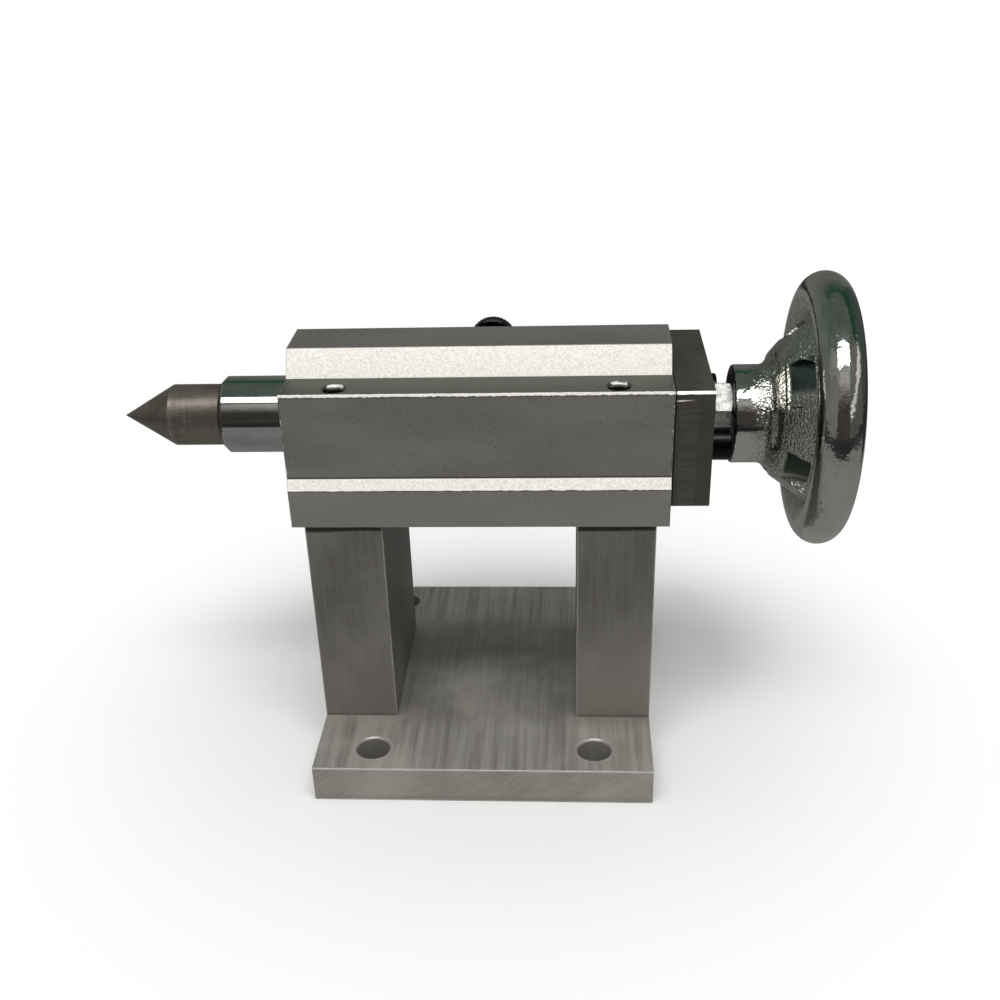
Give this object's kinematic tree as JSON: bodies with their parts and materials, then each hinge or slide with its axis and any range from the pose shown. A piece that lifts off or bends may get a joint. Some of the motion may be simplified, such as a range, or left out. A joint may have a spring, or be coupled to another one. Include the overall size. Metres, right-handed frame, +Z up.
{
  "type": "tailstock",
  "caption": "Raised tailstock: extruded body on two posts and a bolt-down plate, screw-driven quill with a dead centre, dished handwheel and quill lock.",
  "frame": {"origin": "centre of the base bolt pattern, on the plate's underside", "axes": "+X along the spindle, away from the centre's point and towards the handwheel; +Z up"},
  "size_m": [0.2342, 0.1331, 0.1567],
  "materials": {
    "base_metal": "milled, matt",
    "post_metal": "milled flat bar",
    "body_metal": "bead-blasted and anodised",
    "cap_steel": "machined, oiled black",
    "quill_steel": "ground",
    "centre_steel": "brown-black oxide",
    "black_steel": "black oxide",
    "screw_steel": "turned",
    "plated_steel": "bright zinc plate",
    "bearing_steel": "ground and hardened",
    "wheel_chrome": "polished rim and hub, rough cast dish",
    "bronze": "turned bronze",
    "brass_plug": "turned brass"
  },
  "bodies": {
    "stand": {"base_plate": "base_metal", "left_post": "post_metal", "right_post": "post_metal", "post_bolts": "black_steel", "housing": "body_metal", "rear_cap": "cap_steel", "cap_screws": "black_steel", "cap_bush": "bronze", "guide_screw": "black_steel", "housing_race": "bearing_steel", "thrust_washer": "plated_steel"},
    "spindle": {"quill": "quill_steel", "dead_centre": "centre_steel", "leadscrew_nut": "bronze", "nut_set_screws": "black_steel"},
    "drive": {"leadscrew": "screw_steel", "shaft_race": "bearing_steel", "lock_nut": "plated_steel", "handwheel": "wheel_chrome", "wheel_key": "screw_steel", "wheel_washer": "plated_steel", "wheel_nut": "plated_steel"},
    "ball_ring": {"bearing_balls": "bearing_steel", "ball_cage": "bronze"},
    "brake": {"brake_plug": "brass_plug"},
    "thumb_screw": {"lock_screw": "black_steel"}
  },
  "joints": [
    {"name": "wheel_turn", "type": "hinge", "parent": "stand", "child": "drive", "pos_m": [0.08, 0, 0.1135], "axis": [-1, 0, 0], "range_deg": [-2880, 1920]},
    {"name": "quill_slide", "type": "slide", "parent": "stand", "child": "spindle", "axis": [-1, 0, 0], "range_m": [-0.024, 0.016]},
    {"name": "ball_turn", "type": "hinge", "parent": "stand", "child": "ball_ring", "pos_m": [0.0555, 0, 0.1135], "axis": [-1, 0, 0], "range_deg": [-1440, 960]},
    {"name": "brake_slide", "type": "slide", "parent": "stand", "child": "brake", "axis": [0, -1, 0], "range_m": [0, 0.000833]},
    {"name": "lock_turn", "type": "hinge", "parent": "brake", "child": "thumb_screw", "pos_m": [0, 0.06, 0.1135], "axis": [0, -1, 0], "range_deg": [0, 240]}
  ],
  "couplings": [
    {"joint": "quill_slide", "follows": "wheel_turn", "m_per_rad": 0.00047746},
    {"joint": "ball_turn", "follows": "wheel_turn", "ratio": 0.5},
    {"joint": "lock_turn", "follows": "brake_slide", "rad_per_m": 5026.5}
  ]
}
